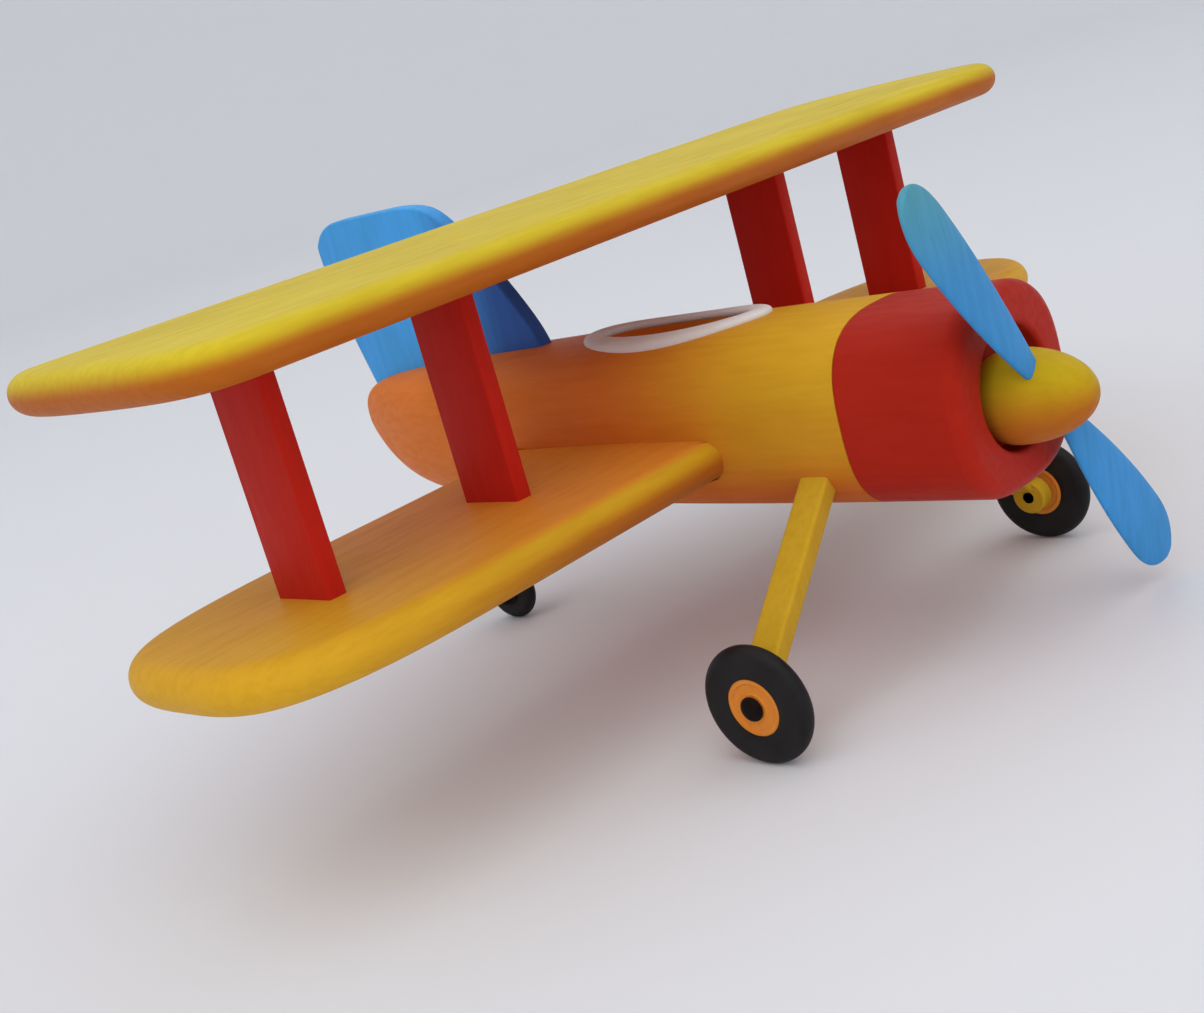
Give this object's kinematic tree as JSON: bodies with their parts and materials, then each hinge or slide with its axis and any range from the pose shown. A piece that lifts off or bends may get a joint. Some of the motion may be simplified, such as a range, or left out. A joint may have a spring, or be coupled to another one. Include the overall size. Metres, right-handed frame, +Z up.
{
  "type": "biplane scale model",
  "caption": "Toy-like painted wooden biplane with a dished round cowl, spinning propeller, flat struts, oval cockpit and rolling wheels.",
  "frame": {"origin": "on the ground under the middle of the model's box", "axes": "+X towards the nose, +Y to port along the span, +Z up"},
  "size_m": [0.265, 0.344, 0.1394],
  "materials": {
    "amber_paint": "satin paint on wood",
    "red_paint": "satin paint on wood",
    "white_paint": "satin paint on wood",
    "bare_wood": "bare",
    "yellow_paint": "satin paint on wood",
    "orange_paint": "satin paint on wood",
    "blue_paint": "satin paint on wood",
    "black_paint": "satin paint on wood",
    "hub_paint": "satin paint on wood",
    "black_rubber": "matte",
    "steel": "satin",
    "brass_metal": "satin"
  },
  "bodies": {
    "airframe": {"fuselage": "amber_paint", "cowl": "red_paint", "cockpit_ring": "white_paint", "cowl_dowels": "bare_wood", "upper_wing": "yellow_paint", "lower_wing_right": "orange_paint", "lower_wing_left": "orange_paint", "wing_dowels": "bare_wood", "strut_right_outer": "red_paint", "strut_right_inner": "red_paint", "strut_left_inner": "red_paint", "strut_left_outer": "red_paint", "tail_fin": "blue_paint", "landing_leg_right": "yellow_paint", "landing_leg_left": "yellow_paint", "leg_dowels": "bare_wood", "axle_peg_right": "black_paint", "axle_peg_left": "black_paint", "tail_fork": "black_paint", "tail_fork_dowel": "bare_wood", "tail_axle_pin": "steel", "shaft_bush": "brass_metal", "thrust_washer": "brass_metal"},
    "propeller": {"spinner": "yellow_paint", "propeller_blade_upper": "blue_paint", "propeller_blade_lower": "blue_paint", "propeller_shaft": "steel", "shaft_collar": "steel"},
    "right_wheel": {"wheel_hub_right": "hub_paint", "tyre_right": "black_rubber"},
    "left_wheel": {"wheel_hub_left": "hub_paint", "tyre_left": "black_rubber"},
    "tail_wheel": {"tail_wheel_hub": "black_paint", "tail_tyre": "black_rubber"}
  },
  "joints": [
    {"name": "propeller_spin", "type": "hinge", "parent": "airframe", "child": "propeller", "pos_m": [0.1204, 0, 0.0642], "axis": [1, 0, 0], "continuous": true},
    {"name": "right_wheel_spin", "type": "hinge", "parent": "airframe", "child": "right_wheel", "pos_m": [0.0717, -0.0708, 0.015], "axis": [0, 1, 0], "continuous": true},
    {"name": "left_wheel_spin", "type": "hinge", "parent": "airframe", "child": "left_wheel", "pos_m": [0.0717, 0.0708, 0.015], "axis": [0, 1, 0], "continuous": true},
    {"name": "tail_wheel_spin", "type": "hinge", "parent": "airframe", "child": "tail_wheel", "pos_m": [-0.0869, 0, 0.0101], "axis": [0, 1, 0], "continuous": true}
  ]
}
